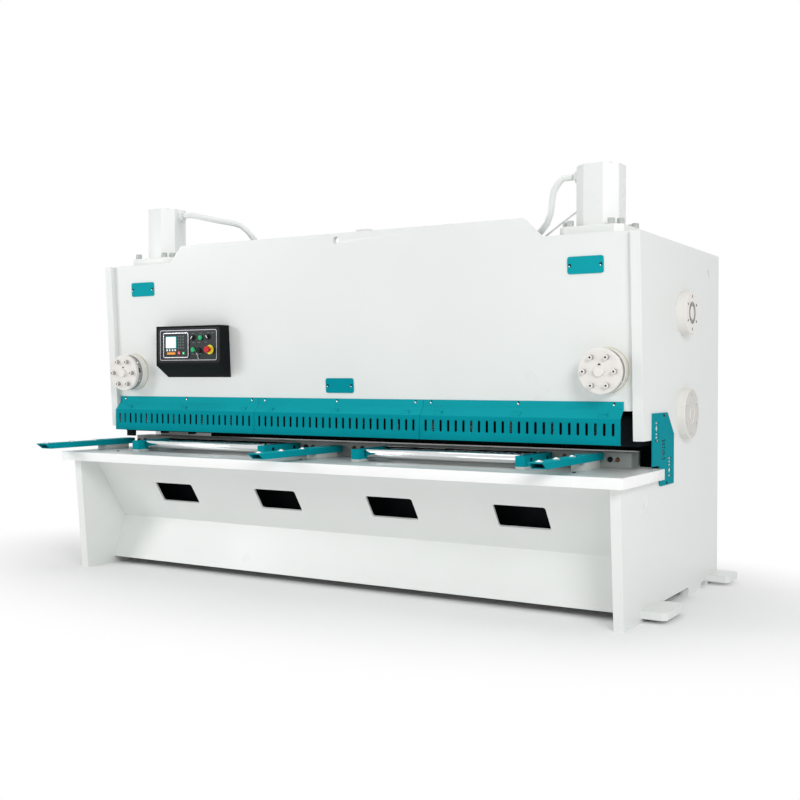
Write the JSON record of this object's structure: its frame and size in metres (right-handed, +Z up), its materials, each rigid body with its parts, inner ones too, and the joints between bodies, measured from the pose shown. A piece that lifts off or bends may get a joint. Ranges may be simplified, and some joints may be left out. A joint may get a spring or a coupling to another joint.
{
  "type": "hydraulic guillotine shear",
  "caption": "Hydraulic guillotine shear: plate frame, table with roller frames and support arms, slotted finger guard, raked blade on a ram hung from hydraulic cylinders.",
  "frame": {"origin": "on the floor, under the middle of the machine's box", "axes": "+X along the blades to the operator's right, +Y from the operator to the back, +Z up"},
  "size_m": [3.68, 1.9154, 2.195],
  "materials": {
    "white_paint": "satin white enamel",
    "teal_paint": "satin teal enamel",
    "black_paint": "satin black enamel",
    "bed_paint": "grey enamel",
    "ground_steel": "ground",
    "blade_steel": "ground tool steel",
    "chrome": "polished"
  },
  "bodies": {
    "frame": {"back_gauge": "black_paint", "bed_beam": "white_paint", "bed_block": "bed_paint", "control_box": "black_paint", "cover_plate_left": "teal_paint", "cover_plate_middle": "teal_paint", "cover_plate_right": "teal_paint", "cylinder_left": "white_paint", "cylinder_mount_left": "white_paint", "cylinder_mount_right": "white_paint", "cylinder_right": "white_paint", "front_apron": "white_paint", "front_panel": "white_paint", "guard_left": "teal_paint", "guard_middle": "teal_paint", "guard_right": "teal_paint", "guide_cap_front_left": "white_paint", "guide_cap_front_right": "white_paint", "hold_down_beam": "black_paint", "lower_blade": "blade_steel", "offcut_chute": "white_paint", "oil_tank": "white_paint", "pipe_left": "white_paint", "pipe_right": "white_paint", "pump_motor": "teal_paint", "rear_beam": "white_paint", "roller_bracket_left_inner": "teal_paint", "roller_bracket_left_outer": "teal_paint", "roller_bracket_right_inner": "teal_paint", "roller_bracket_right_outer": "teal_paint", "scale_bracket": "teal_paint", "side_flange_lower_left": "white_paint", "side_flange_lower_right": "white_paint", "side_flange_upper_left": "white_paint", "side_flange_upper_right": "white_paint", "side_plate_left": "white_paint", "side_plate_right": "white_paint", "support_arm_left": "teal_paint", "support_arm_middle": "teal_paint", "support_arm_right": "teal_paint", "table_top": "ground_steel", "tank_shelf": "white_paint", "valve_block": "ground_steel"},
    "ram": {"ram_beam": "black_paint", "upper_blade": "blade_steel", "piston_rod_left": "chrome", "piston_rod_right": "chrome"},
    "roller_1": {"roller_1": "chrome"},
    "roller_2": {"roller_2": "chrome"},
    "roller_3": {"roller_3": "chrome"},
    "roller_4": {"roller_4": "chrome"}
  },
  "joints": [
    {"name": "ram_slide", "type": "slide", "parent": "frame", "child": "ram", "axis": [0, 0, -1], "range_m": [0, 0.12]},
    {"name": "roller_1_spin", "type": "hinge", "parent": "frame", "child": "roller_1", "pos_m": [-0.8685, -0.44765, 0.752], "axis": [1, 0, 0], "continuous": true},
    {"name": "roller_2_spin", "type": "hinge", "parent": "frame", "child": "roller_2", "pos_m": [-0.8685, -0.25065, 0.752], "axis": [1, 0, 0], "continuous": true},
    {"name": "roller_3_spin", "type": "hinge", "parent": "frame", "child": "roller_3", "pos_m": [0.6995, -0.44765, 0.752], "axis": [1, 0, 0], "continuous": true},
    {"name": "roller_4_spin", "type": "hinge", "parent": "frame", "child": "roller_4", "pos_m": [0.6995, -0.25065, 0.752], "axis": [1, 0, 0], "continuous": true}
  ]
}
